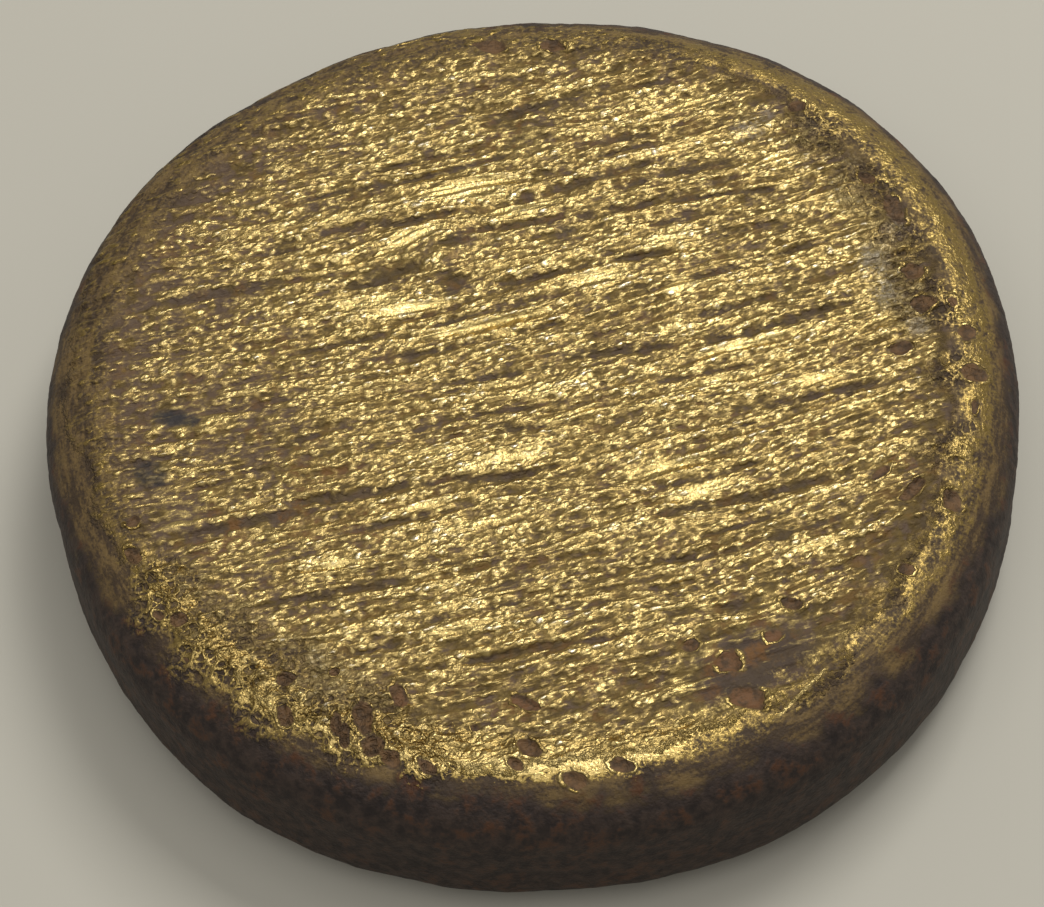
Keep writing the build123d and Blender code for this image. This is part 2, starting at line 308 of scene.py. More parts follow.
# Places with a pale patch (above 0) or with rust (below 0): middle, half width in mm, amount. The pale
# patches on the right of the face are a painted highlight standing for pale glints; the others are a pale
# bloom.
tinted_places = (
    (39.4, 45.5, 4.0, 0.8), (43.9, 48.9, 3.0, 0.6), (57.0, 17.5, 4.0, 1.0), (58.6, 10.4, 4.0, 0.9),
    (63.1, 4.0, 3.0, 0.9), (-35.8, -47.4, 3.0, 0.7), (-33.8, -52.8, 3.0, 0.5), (-23.6, -51.7, 2.5, 0.6),
    (-57.4, -2.4, 2.5, 0.4), (-62.5, 5.0, 3.0, 0.4), (62.0, 24.0, 4.0, 0.7), (56.0, 37.0, 4.0, 0.6),
    (50.5, 45.5, 3.0, 0.6), (24.4, -52.1, 4.0, -0.8), (28.1, -59.7, 4.0, -0.8), (4.4, -56.2, 6.0, -0.7),
    (-40.3, -9.9, 5.0, -0.7), (-48.4, -22.0, 4.0, -0.8), (-32.5, -14.3, 4.0, -0.6),
    (-4.6, -57.4, 4.0, -0.8), (-22.0, -55.0, 3.0, -0.9), (-37.0, -21.0, 5.0, -0.9),
    (-27.0, -24.5, 4.0, -0.8), (32.0, -50.0, 4.0, -0.8), (57.0, -21.0, 3.0, -0.8), (4.0, 47.5, 6.0, -0.8),
)
# Blue-black stains: middle, half width in mm, amount.
stained_places = (
    (-57.8, -2.2, 2.0, 0.8), (-55.6, -2.9, 1.6, 0.7), (-53.9, -3.3, 1.4, 0.6), (-60.0, -2.0, 1.3, 0.5),
    (7.8, 28, 1.8, 0.6), (-62.0, -11.5, 3.5, 0.55), (-59.3, -13.7, 3.0, 0.5), (-57.6, 14.4, 2.5, 0.5),
)
# How far the grain runs over the edge of the face: direction in degrees, mm.
grain_ends = ((0, -3), (20, -4), (45, -3), (75, 4), (95, 8), (150, 9), (180, 5), (210, 0), (320, 0))
# The bare band on the rim: direction in degrees, share that is bare, middle of the band past the edge of
# the face and how far its dull gold runs down the shoulder, both in mm, and how much duller the grain is.
rim_wear = (
    (0, 0.9, 3.5, 8, 1.4), (20, 0.9, 4, 8, 1.4), (45, 0.9, 4, 7, 1.2), (70, 0.45, 2, 6, 0.8),
    (95, 0.2, 0, 6, 0.8), (130, 0.1, 0, 7, 1.0), (170, 0.15, 0, 11, 1.2), (195, 0.4, 0, 9, 1.0),
    (212, 0.8, 0, 5, 0.7), (240, 0.9, 0, 4, 0.4), (254, 2.0, -1, 4, 0.2), (268, 1.8, -0.5, 5, 0.2),
    (285, 1.1, 0, 5, 0.6), (298, 0.55, 0, 6, 1.3), (310, 0.45, 0, 6, 1.6), (325, 0.65, 2, 7, 1.7),
    (345, 0.6, 3, 9, 2.0),
)
# The grain rises to the right by this slope at the middle, and bends upward by this much more for each mm.
grain_slope = 0.17
grain_bend = 0.00068
knot_x = -13.7
knot_y = 25.2
knot_half_width = 8.5
# A line thins by this much over this length at either end, and a mark ends at this many half widths.
line_thinning = 0.8
line_runout = 6.0
unmarked = 4.0
far_away = 1000.0
plan = points[:, :2]
upper_side = points[:, 2] > face_height - shoulder_radius


def line_distance(line):
    """Distance in plan from each point of the skin to a line, more where its ends thin out."""
    nearest = np.full(len(plan), far_away)
    for start, end in zip(line[:-1], line[1:]):
        start, run = np.array(start), np.subtract(end, start)
        share = np.clip((plan - start) @ run / (run @ run), 0, 1)
        nearest = np.minimum(nearest, np.linalg.norm(plan - start - share[:, None] * run, axis=1))
    to_end = np.minimum(np.linalg.norm(plan - line[0], axis=1), np.linalg.norm(plan - line[-1], axis=1))
    return nearest + line_thinning * np.clip(1 - to_end / line_runout, 0, 1)


def round_place(x, y, half_width):
    """Share from 1 at the middle of a round place down to 0 well outside it, at each point of the skin."""
    return np.exp(-((plan[:, 0] - x) ** 2 + (plan[:, 1] - y) ** 2) / half_width**2)


line_nearness = np.full(len(plan), unmarked)
line_depth = np.zeros(len(plan))
for line, half_width, depth in grain_lines:
    nearness = line_distance(line) / half_width
    closer = nearness < line_nearness
    line_nearness[closer] = nearness[closer]
    line_depth[closer] = depth
wear_and_light = np.zeros(len(plan))
for x, y, half_length, half_width, amount in wear_and_light_places:
    turn = math.atan(grain_slope + 2 * grain_bend * x)
    away = plan - (x, y)
    along = away @ (math.cos(turn), math.sin(turn))
    across = away @ (-math.sin(turn), math.cos(turn))
    wear_and_light += amount * np.exp(-((along / half_length) ** 2) - (across / half_width) ** 2)
tinted = np.zeros(len(plan))
for x, y, half_width, amount in tinted_places:
    tinted += amount * round_place(x, y, half_width)
stained = np.zeros(len(plan))
for x, y, half_width, amount in stained_places:
    stained += amount * round_place(x, y, half_width)
netted = np.zeros(len(plan))
for x, y, half_width, amount in netted_places:
    netted = np.maximum(netted, amount * round_place(x, y, half_width))
wear_turns, wear_shares, wear_bands, wear_lengths, wear_dullings = np.array(rim_wear).T
plan_turns = np.degrees(np.arctan2(plan[:, 1], plan[:, 0]))
grain_end = np.interp(plan_turns, *np.array(grain_ends).T, period=360)
past_grain = from_edge - grain_end
bare_rim = np.interp(plan_turns, wear_turns, wear_shares, period=360)
rim_band = np.interp(plan_turns, wear_turns, wear_bands, period=360)
dull_reach = np.interp(plan_turns, wear_turns, wear_lengths, period=360)
edge_dulling = -np.interp(plan_turns, wear_turns, wear_dullings, period=360)
blister_nearness = np.full(len(plan), unmarked)
blister_depth = np.zeros(len(plan))
for x, y, length, width, turn, depth in blisters:
    flat_distance = np.where(upper_side, np.hypot(plan[:, 0] - x, plan[:, 1] - y), far_away)
    away = points - points[np.argmin(flat_distance)]
    turn = math.radians(turn)
    lengthwise = (away[:, 0] * math.cos(turn) + away[:, 1] * math.sin(turn)) / (length / 2)
    crosswise = (away[:, 1] * math.cos(turn) - away[:, 0] * math.sin(turn)) / (width / 2)
    nearness = np.sqrt(lengthwise**2 + crosswise**2 + (away[:, 2] / (width / 2)) ** 2)
    closer = nearness < blister_nearness
    blister_nearness[closer] = nearness[closer]
    blister_depth[closer] = depth
for name, values in (
    ("from_edge", from_edge), ("line_nearness", line_nearness), ("line_depth", line_depth),
    ("past_grain", past_grain), ("wear_and_light", wear_and_light), ("netted", netted), ("tinted", tinted),
    ("stained", stained), ("bare_rim", bare_rim), ("rim_band", rim_band), ("dull_reach", dull_reach),
    ("edge_dulling", edge_dulling), ("blister_nearness", blister_nearness), ("blister_depth", blister_depth),
):
    skin_mesh.attributes.new(name, "FLOAT", "POINT").data.foreach_set("value", values.astype(np.float32))

# THE CAST GRAIN
# The wood's grain stands in the metal as ridges that flow round the knot, each broken into grains of gold,
# with a net of small blisters over the shoulder and a lumpy wall. All of it is in the casting itself.
# Widths in mm, and how much longer than wide the ridges, slats and lumps are.
ridge_width = 2.3
ridge_stretch = 1 / 0.09
slat_width = 0.95
slat_stretch = 1 / 0.08
lump_width = 1.05
lump_stretch = 1 / 0.42
net_width = 2.8
fine_net_width = 1.3


def feed(tree, socket, value):
    """Joins a socket to another node's result, or sets it to a plain value."""
    if isinstance(value, bpy.types.NodeSocket):
        tree.links.new(value, socket)
    else:
        socket.default_value = value


def sum_of(tree, work, *values):
    """Result of one arithmetic step."""
    node = tree.nodes.new("ShaderNodeMath")
    node.operation = work
    for socket, value in zip(node.inputs, values):
        feed(tree, socket, value)
    return node.outputs[0]


def rise(tree, value, low, high, bottom=0.0, top=1.0):
    """Smooth step from one level to another as a value goes from low to high."""
    node = tree.nodes.new("ShaderNodeMapRange")
    node.interpolation_type = "SMOOTHSTEP"
    names = ("Value", "From Min", "From Max", "To Min", "To Max")
    for name, level in zip(names, (value, low, high, bottom, top)):
        feed(tree, node.inputs[name], level)
    return node.outputs[0]


def place(tree, x, y, z=0.0):
    """Point made of three lengths."""
    node = tree.nodes.new("ShaderNodeCombineXYZ")
    for socket, value in zip(node.inputs, (x, y, z)):
        feed(tree, socket, value)
    return node.outputs[0]


def clouds(tree, where, size, detail=2.0, roughness=0.5):
    """Cloudy variation from 0 to 1 with lumps of about that size."""
    node = tree.nodes.new("ShaderNodeTexNoise")
    feed(tree, node.inputs["Vector"], where)
    node.inputs["Scale"].default_value = 1.0 / size
    node.inputs["Detail"].default_value = detail
    node.inputs["Roughness"].default_value = roughness
    return node.outputs[0]


def lengths(tree, where):
    """The three coordinates of a place in mm."""
    node = tree.nodes.new("ShaderNodeVectorMath")
    node.operation = "SCALE"
    feed(tree, node.inputs[0], where)
    node.inputs["Scale"].default_value = 1.0 / mm
    parts = tree.nodes.new("ShaderNodeSeparateXYZ")
    tree.links.new(node.outputs[0], parts.inputs[0])
    return node.outputs[0], parts.outputs[0], parts.outputs[1], parts.outputs[2]


def grain_course(tree, x, y):
    """Distance across the grain, which bends upward to the right, wavers and parts round the knot."""
    slope = sum_of(tree, "MULTIPLY_ADD", x, grain_bend, grain_slope)
    course = sum_of(tree, "SUBTRACT", y, sum_of(tree, "MULTIPLY", x, slope))
    waver = clouds(tree, place(tree, sum_of(tree, "MULTIPLY", x, 0.35), y), 9.0, 1.0)
    course = sum_of(tree, "ADD", course, sum_of(tree, "MULTIPLY_ADD", waver, 4.0, -2.0))
    knot_course = knot_y - knot_x * (grain_slope + grain_bend * knot_x)
    over = sum_of(tree, "SUBTRACT", course, knot_course)
    beside = sum_of(tree, "SUBTRACT", x, knot_x)
    square = sum_of(tree, "MULTIPLY_ADD", over, over, sum_of(tree, "MULTIPLY", beside, beside))
    parting = sum_of(tree, "DIVIDE", 32.0, sum_of(tree, "ADD", square, 40.0))
    return sum_of(tree, "SUBTRACT", course, sum_of(tree, "MULTIPLY", over, parting))


def grain_ridges(tree, x, y):
    """Broad ridges, the narrow slats on them, and gritty lumps of metal, each from 0 to 1."""
    course = grain_course(tree, x, y)
    along_ridge = sum_of(tree, "DIVIDE", x, ridge_stretch)
    broad = clouds(tree, place(tree, along_ridge, course), ridge_width, 2.0, 0.5)
    along_slat = sum_of(tree, "DIVIDE", x, slat_stretch)
    slats = clouds(tree, place(tree, along_slat, course, 7.0), slat_width, 1.0, 0.5)
    along_lump = sum_of(tree, "DIVIDE", x, lump_stretch)
    lumps = clouds(tree, place(tree, along_lump, course, 3.0), lump_width, 2.0, 0.65)
    return broad, slats, lumps


def ragged(tree, nearness, x, y, raggedness):
    """Nearness to a mark with its edge made uneven."""
    edge_lumps = clouds(tree, place(tree, sum_of(tree, "MULTIPLY", x, 0.7), y, 11.0), 1.8, 2.0, 0.6)
    unevenness = sum_of(tree, "MULTIPLY_ADD", edge_lumps, 2 * raggedness, -raggedness)
    return sum_of(tree, "ADD", nearness, unevenness)


def broken(tree, nearness, x, y):
    """Nearness to a grain line, uneven and in places closed up."""
    gaps = clouds(tree, place(tree, x, y, 23.0), 7.0, 1.0)
    return sum_of(tree, "ADD", ragged(tree, nearness, x, y, 1.0), rise(tree, gaps, 0.55, 0.75, 0.0, 1.0))


def blister_net(tree, where, size):
    """Distance from the uneven walls between small blisters of about that size, as a share of the size."""
    stir = tree.nodes.new("ShaderNodeTexNoise")
    feed(tree, stir.inputs["Vector"], where)
    stir.inputs["Scale"].default_value = 0.9 / size
    stirred = tree.nodes.new("ShaderNodeVectorMath")
    stirred.operation = "MULTIPLY_ADD"
    tree.links.new(stir.outputs["Color"], stirred.inputs[0])
    stirred.inputs[1].default_value = (0.6 * size, 0.6 * size, 0.6 * size)
    feed(tree, stirred.inputs[2], where)
    node = tree.nodes.new("ShaderNodeTexVoronoi")
    node.feature = "DISTANCE_TO_EDGE"
    tree.links.new(stirred.outputs[0], node.inputs["Vector"])
    node.inputs["Scale"].default_value = 1.0 / size
    return node.outputs[0]


relief = bpy.data.node_groups.new("cast_grain", "GeometryNodeTree")
relief.interface.new_socket("Skin", in_out="INPUT", socket_type="NodeSocketGeometry")
for name, usual in (
    ("Ridge depth", 0.45), ("Slat depth", 0.18), ("Lump depth", 0.35),
    ("Knot rise", 0.8), ("Net depth", 0.5), ("Wall lumps", 0.35),
):
    relief.interface.new_socket(name, in_out="INPUT", socket_type="NodeSocketFloat").default_value = usual
relief.interface.new_socket("Skin", in_out="OUTPUT", socket_type="NodeSocketGeometry")
given = relief.nodes.new("NodeGroupInput")
result = relief.nodes.new("NodeGroupOutput")


def mark(tree, name):
    """One of the marks stored on the skin."""
    node = tree.nodes.new("GeometryNodeInputNamedAttribute")
    node.data_type = "FLOAT"
    node.inputs["Name"].default_value = name
    return node.outputs[0]


where, x, y, z = lengths(relief, relief.nodes.new("GeometryNodeInputPosition").outputs[0])
broad, slats, lumps = grain_ridges(relief, x, y)
edge = mark(relief, "from_edge")
on_face = rise(relief, mark(relief, "past_grain"), 3.0, -2.0)
ridge_shape = rise(relief, broad, 0.36, 0.58, -1.0, 0.0)
ridges = sum_of(relief, "MULTIPLY", ridge_shape, given.outputs["Ridge depth"])
slat_shape = rise(relief, slats, 0.35, 0.6, -1.0, 0.0)
slat_tops = sum_of(relief, "MULTIPLY", slat_shape, given.outputs["Slat depth"])
rough = rise(relief, mark(relief, "wear_and_light"), 0.9, 0.2, 0.25, 1.0)
lump_shape = rise(relief, lumps, 0.25, 0.75, -1.0, 0.0)
lump_tops = sum_of(relief, "MULTIPLY", lump_shape, given.outputs["Lump depth"])
lump_tops = sum_of(relief, "MULTIPLY", lump_tops, rough)
# The tops stand this far over the level of the face, so that the relief lies about it.
tops = 0.45
height = sum_of(relief, "ADD", ridges, slat_tops)
height = sum_of(relief, "ADD", height, sum_of(relief, "ADD", lump_tops, tops))
line_shape = rise(relief, broken(relief, mark(relief, "line_nearness"), x, y), -0.2, 1.6, -0.8, 0.0)
height = sum_of(relief, "ADD", height, sum_of(relief, "MULTIPLY", line_shape, mark(relief, "line_depth")))
from_knot = relief.nodes.new("ShaderNodeVectorMath")
from_knot.operation = "DISTANCE"
relief.links.new(place(relief, x, y), from_knot.inputs[0])
from_knot.inputs[1].default_value = (knot_x, knot_y, 0)
swelling = rise(relief, from_knot.outputs["Value"], knot_half_width, 0.0)
height = sum_of(relief, "ADD", height, sum_of(relief, "MULTIPLY", swelling, given.outputs["Knot rise"]))
height = sum_of(relief, "MULTIPLY", height, on_face)
patchy = clouds(relief, where, 9.0, 1.0)
net_zone = rise(relief, sum_of(relief, "MULTIPLY_ADD", patchy, 0.8, mark(relief, "netted")), 0.55, 0.95)
net_shape = rise(relief, blister_net(relief, where, net_width), 0.03, 0.22, 0.0, -1.0)
net = sum_of(relief, "MULTIPLY", net_shape, given.outputs["Net depth"])
height = sum_of(relief, "ADD", height, sum_of(relief, "MULTIPLY", net, net_zone))
near = ragged(relief, mark(relief, "blister_nearness"), x, y, 0.5)
hollow = sum_of(relief, "MULTIPLY", rise(relief, near, 1.05, 0.45, 0.0, -1.0), mark(relief, "blister_depth"))
lip = sum_of(relief, "MULTIPLY", rise(relief, near, 0.85, 1.05), rise(relief, near, 1.5, 1.1))
clear = rise(relief, near, 0.7, 1.2)
height = sum_of(relief, "MULTIPLY", height, clear)
height = sum_of(relief, "ADD", height, sum_of(relief, "MULTIPLY_ADD", lip, 0.18, hollow))
swells = clouds(relief, where, 14.0, 2.0)
pits = clouds(relief, where, 1.6, 2.0, 0.6)
pit_shape = rise(relief, pits, 0.3, 0.7, -0.35, 0.0)
wall = sum_of(relief, "ADD", rise(relief, swells, 0.3, 0.7, -1.0, 0.0), pit_shape)
wall = sum_of(relief, "MULTIPLY", wall, given.outputs["Wall lumps"])
wall = sum_of(relief, "MULTIPLY", wall, rise(relief, edge, 1.0, 8.0))
off_base = rise(relief, z, 0.0, 1.5)
height = sum_of(relief, "ADD", height, sum_of(relief, "MULTIPLY", wall, off_base))
outward = relief.nodes.new("ShaderNodeVectorMath")
outward.operation = "SCALE"
relief.links.new(relief.nodes.new("GeometryNodeInputNormal").outputs[0], outward.inputs[0])
relief.links.new(sum_of(relief, "MULTIPLY", height, mm), outward.inputs["Scale"])
move = relief.nodes.new("GeometryNodeSetPosition")
relief.links.new(given.outputs["Skin"], move.inputs["Geometry"])
relief.links.new(outward.outputs[0], move.inputs["Offset"])
real = relief.nodes.new("GeometryNodeRealizeInstances")
relief.links.new(move.outputs[0], real.inputs[0])
coat = relief.nodes.new("GeometryNodeSetMaterial")
relief.links.new(real.outputs[0], coat.inputs["Geometry"])
relief.links.new(coat.outputs[0], result.inputs["Skin"])

# THE WORN SKIN
# Bare gold shows where the ridges and the rim have been rubbed; brown and purple oxide stays in the hollows,
# and the wall keeps nearly all of its dark skin, mottled with rust red.
olive_brown = (0.090, 0.058, 0.020, 1)
warm_brown = (0.150, 0.098, 0.026, 1)
violet_brown = (0.115, 0.075, 0.052, 1)
groove_brown = (0.080, 0.055, 0.034, 1)
hollow_violet = (0.066, 0.045, 0.034, 1)
rust_brown = (0.170, 0.080, 0.024, 1)
shoulder_dark = (0.062, 0.041, 0.024, 1)
shoulder_pale = (0.165, 0.107, 0.042, 1)
wall_dark = (0.024, 0.018, 0.016, 1)
wall_pale = (0.058, 0.040, 0.031, 1)
wall_red = (0.088, 0.038, 0.018, 1)
pit_dark = (0.045, 0.030, 0.020, 1)
pit_pale = (0.150, 0.100, 0.045, 1)
blister_dark = (0.070, 0.043, 0.023, 1)
blister_pale = (0.160, 0.092, 0.040, 1)
blister_rust = (0.165, 0.080, 0.036, 1)
stain_black = (0.030, 0.029, 0.030, 1)
pale_bloom_and_glint = (0.34, 0.30, 0.23, 1)
dull_gold = (0.36, 0.25, 0.085, 1)
clear_gold = (0.64, 0.48, 0.19, 1)
painted_glint_gold = (0.90, 0.78, 0.55, 1)
smooth_gold = (0.64, 0.48, 0.17, 1)
dull_rim_gold = (0.34, 0.235, 0.070, 1)
clear_rim_gold = (0.68, 0.51, 0.20, 1)
net_gold = (0.42, 0.30, 0.105, 1)
bead_width = 0.9
texture_depth = 0.35
finish = bpy.data.materials.new("worn_cast_gold")
finish.use_nodes = True
paint = finish.node_tree
shader = paint.nodes["Principled BSDF"]


def marked(name):
    """One of the marks stored on the skin, for the finish."""
    node = paint.nodes.new("ShaderNodeAttribute")
    node.attribute_name = name
    return node.outputs["Fac"]


def blend(share, first, second):
    """Mix of two colours."""
    node = paint.nodes.new("ShaderNodeMix")
    node.data_type = "RGBA"
    feed(paint, node.inputs[0], share)
    feed(paint, node.inputs[6], first)
    feed(paint, node.inputs[7], second)
    return node.outputs[2]


where, x, y, z = lengths(paint, paint.nodes.new("ShaderNodeTexCoord").outputs["Object"])
broad, slats, lumps = grain_ridges(paint, x, y)
edge = marked("from_edge")
# Rubbed and dull places, some of them painted highlight and painted shade
rub_and_light = marked("wear_and_light")
bare = marked("bare_rim")
tint = marked("tinted")
near = ragged(paint, marked("blister_nearness"), x, y, 0.5)
specks = clouds(paint, where, 0.55, 2.0, 0.6)
blots = clouds(paint, where, 2.0, 3.0, 0.65)
patches = clouds(paint, where, 7.0, 2.0)
rust = rise(paint, sum_of(paint, "MULTIPLY_ADD", tint, -0.06, clouds(paint, where, 4.0, 3.0, 0.7)), 0.5, 0.7)
# Beads of metal stand all over the grain, each of its own height, except where it is rubbed smooth
jostle = clouds(paint, where, 1.1, 1.0)
cells = paint.nodes.new("ShaderNodeTexVoronoi")
cells.inputs["Scale"].default_value = 1.0 / bead_width
bead_course = sum_of(paint, "ADD", sum_of(paint, "MULTIPLY_ADD", x, -0.15, y), jostle)
paint.links.new(place(paint, sum_of(paint, "MULTIPLY", x, 0.6), bead_course), cells.inputs["Vector"])
own = paint.nodes.new("ShaderNodeSeparateXYZ")
paint.links.new(cells.outputs["Color"], own.inputs[0])
dome = sum_of(paint, "POWER", cells.outputs["Distance"], 2.0)
dome = sum_of(paint, "MAXIMUM", sum_of(paint, "MULTIPLY_ADD", dome, -2.4, 1.0), 0.0)
beads = sum_of(paint, "MULTIPLY", dome, sum_of(paint, "MULTIPLY_ADD", own.outputs[0], 0.6, 0.4))
smooth = sum_of(paint, "MULTIPLY_ADD", patches, 1.2, sum_of(paint, "ABSOLUTE", rub_and_light))
smooth = rise(paint, smooth, 1.0, 1.8)
rough = sum_of(paint, "MULTIPLY_ADD", smooth, -0.75, 1.0)
# Streaks that run round the rim
streak_round = 16.0
reach = sum_of(paint, "SQRT", sum_of(paint, "MULTIPLY_ADD", x, x, sum_of(paint, "MULTIPLY", y, y)))
round_x = sum_of(paint, "MULTIPLY", sum_of(paint, "DIVIDE", x, reach), streak_round)
round_y = sum_of(paint, "MULTIPLY", sum_of(paint, "DIVIDE", y, reach), streak_round)
streaks = clouds(paint, place(paint, round_x, round_y, edge), 1.7, 3.0, 0.65)


def weigh(*terms):
    """Sum of values, each with its weight and the level at which it counts for nothing."""
    total = 0.0
    for value, weight, level in terms:
        total = sum_of(paint, "ADD", total, sum_of(paint, "MULTIPLY_ADD", value, weight, -weight * level))
    return total


# Bare gold on the face follows the ridges' tops, and thins out towards the dull sides of the rim
beaded = sum_of(paint, "MULTIPLY", sum_of(paint, "SUBTRACT", beads, 0.4), rough)
score = weigh(
    (broad, 2.0, 0.47), (slats, 2.4, 0.5), (lumps, 5.0, 0.48), (beaded, 1.4, 0.0),
    (specks, 1.2, 0.5), (patches, 1.0, 0.5), (rub_and_light, 0.9, -0.1),
)
off_line = broken(paint, marked("line_nearness"), x, y)
dull_line = rise(paint, off_line, 0.0, 1.35, -1.0, 0.0)
dullness = sum_of(paint, "MULTIPLY_ADD", marked("line_depth"), 2.0, 0.4)
dull_line = sum_of(paint, "MULTIPLY", dull_line, dullness)
dull_edge = sum_of(paint, "MULTIPLY", rise(paint, edge, -10.0, 2.0), marked("edge_dulling"))
rusty = sum_of(paint, "MULTIPLY", rust, rise(paint, tint, 0.3, -0.7, 0.4, 1.0))
score = sum_of(paint, "ADD", score, sum_of(paint, "ADD", dull_line, dull_edge))
score = sum_of(paint, "ADD", score, sum_of(paint, "MULTIPLY", rusty, -0.5))
grain_edge = sum_of(paint, "ADD", marked("past_grain"), weigh((patches, 10.0, 0.5), (specks, 4.0, 0.5)))
face_gold = sum_of(paint, "MULTIPLY", rise(paint, score, -1.3, 0.5), rise(paint, grain_edge, 2.0, 0.0))
netting = rise(paint, sum_of(paint, "MULTIPLY_ADD", patches, 0.8, marked("netted")), 0.55, 0.95)
face_gold = sum_of(paint, "MULTIPLY", face_gold, sum_of(paint, "MULTIPLY_ADD", netting, -0.55, 1.0))
# Bare gold on the rim: a speckled band, the walls of the net and parts of the blisters' lips, the last partly
# a painted highlight
off_band = sum_of(paint, "ABSOLUTE", sum_of(paint, "SUBTRACT", edge, marked("rim_band")))
density = sum_of(paint, "MULTIPLY", bare, rise(paint, off_band, 5.5, 1.0))
wide_walls = sum_of(paint, "MULTIPLY_ADD", blots, -0.3, blister_net(paint, where, net_width))
wide_walls = rise(paint, wide_walls, 0.0, -0.1)
fine_walls = sum_of(paint, "MULTIPLY_ADD", blots, -0.3, blister_net(paint, where, fine_net_width))
fine_walls = rise(paint, fine_walls, 0.02, -0.08, 0.0, 0.8)
walls = sum_of(paint, "MULTIPLY", sum_of(paint, "MAXIMUM", wide_walls, fine_walls), netting)
rim_score = weigh(
    (density, 1.0, 0.0), (specks, 2.0, 0.5), (blots, 2.5, 0.5),
    (streaks, 1.4, 0.5), (walls, 1.5, 0.0), (netting, -0.8, 0.0),
)
worn_through = rise(paint, bare, 0.8, 1.4)
first_gold = sum_of(paint, "MULTIPLY_ADD", worn_through, 0.4, 0.1)
all_gold = sum_of(paint, "MULTIPLY_ADD", worn_through, -0.4, 1.3)
rim_gold = rise(paint, rim_score, first_gold, all_gold)
rim_gold = sum_of(paint, "MULTIPLY", rim_gold, rise(paint, sum_of(paint, "ADD", density, netting), 0.03, 0.2))
rim_gold = sum_of(paint, "MULTIPLY", rim_gold, rise(paint, edge, 9.0, 6.0))
# Gold on parts of the blisters' lips: partly real gold, partly a painted highlight for the lit side of their
# walls
lips_and_glints = sum_of(paint, "MULTIPLY", rise(paint, near, 0.88, 0.98), rise(paint, near, 1.35, 1.12))
lips_and_glints = sum_of(paint, "MULTIPLY", lips_and_glints, rise(paint, clouds(paint, where, 2.5, 1.0), 0.44, 0.58))
gold = sum_of(paint, "MAXIMUM", sum_of(paint, "MAXIMUM", face_gold, rim_gold), lips_and_glints)
gold = sum_of(paint, "MULTIPLY", gold, rise(paint, near, 0.85, 1.0))
# A scratch across the rim, from its middle in mm
scratch_x = 36.8
scratch_y = -59.3
scratch_turn = math.radians(41.7)
scratch_half_length = 6.2
beside = sum_of(paint, "SUBTRACT", x, scratch_x)
beyond = sum_of(paint, "SUBTRACT", y, scratch_y)
along = weigh((beside, math.cos(scratch_turn), 0.0), (beyond, math.sin(scratch_turn), 0.0))
across = weigh((beyond, math.cos(scratch_turn), 0.0), (beside, -math.sin(scratch_turn), 0.0))
scratch = rise(paint, sum_of(paint, "ABSOLUTE", across), 0.35, 0.15)
scratch_ends = rise(paint, sum_of(paint, "ABSOLUTE", along), scratch_half_length, scratch_half_length - 1.5)
scratch = sum_of(paint, "MULTIPLY", scratch, scratch_ends)
scratch = sum_of(paint, "MULTIPLY", scratch, rise(paint, z, 20.0, 22.0))
gold = sum_of(paint, "MAXIMUM", gold, scratch)
# Oxide: warm brown with rust in the hollows, streaked olive down the shoulder, dark and rusty on the wall
face_oxide = blend(rise(paint, blots, 0.35, 0.65), olive_brown, warm_brown)
violet = sum_of(paint, "ADD", clouds(paint, where, 3.0, 2.0, 0.6), rise(paint, x, -20.0, -60.0, 0.0, 0.12))
face_oxide = blend(rise(paint, violet, 0.46, 0.64, 0.0, 0.8), face_oxide, violet_brown)
face_oxide = blend(rise(paint, off_line, 0.2, 1.2, 0.5, 0.0), face_oxide, groove_brown)
face_oxide = blend(rise(paint, rub_and_light, -1.1, -1.7, 0.0, 0.75), face_oxide, hollow_violet)
face_oxide = blend(sum_of(paint, "MULTIPLY", rusty, 0.85), face_oxide, rust_brown)
streaked = weigh((streaks, 1.0, 0.0), (specks, 0.5, 0.5))
shoulder_oxide = blend(rise(paint, streaked, 0.36, 0.66), shoulder_dark, shoulder_pale)
wall_oxide = blend(rise(paint, blots, 0.30, 0.68), wall_dark, wall_pale)
reddened = sum_of(paint, "MULTIPLY", rust, rise(paint, edge, 20.0, 6.0, 0.45, 1.0))
wall_oxide = blend(reddened, wall_oxide, wall_red)
past = sum_of(paint, "SUBTRACT", edge, marked("dull_reach"))
past = sum_of(paint, "ADD", past, weigh((patches, 12.0, 0.5), (blots, 6.0, 0.5)))
pitted = rise(paint, weigh((specks, 1.0, 0.5), (blots, 1.0, 0.5)), -0.15, 0.2)
net_oxide = blend(pitted, pit_dark, pit_pale)
oxide = blend(rise(paint, edge, -3.0, 2.0), face_oxide, shoulder_oxide)
oxide = blend(sum_of(paint, "MULTIPLY", netting, 0.7), oxide, net_oxide)
oxide = blend(rise(paint, past, -1.5, 3.0), oxide, wall_oxide)
floors = blend(rise(paint, blots, 0.35, 0.65), blister_dark, blister_pale)
rusty_floor = rise(paint, tint, 0.0, -0.7, 0.25, 1.0)
rusty_floor = sum_of(paint, "MULTIPLY", rusty_floor, rise(paint, blots, 0.38, 0.60, 0.1, 0.85))
floors = blend(rusty_floor, floors, blister_rust)
oxide = blend(rise(paint, near, 1.0, 0.75), oxide, floors)
stain = rise(paint, sum_of(paint, "MULTIPLY", marked("stained"), blots), 0.1, 0.4)
oxide = blend(sum_of(paint, "MULTIPLY", stain, 0.85), oxide, stain_black)
shine = sum_of(paint, "MULTIPLY_ADD", beaded, 1.6, score)
gold_colour = blend(rise(paint, shine, -0.8, 1.4), dull_gold, clear_gold)
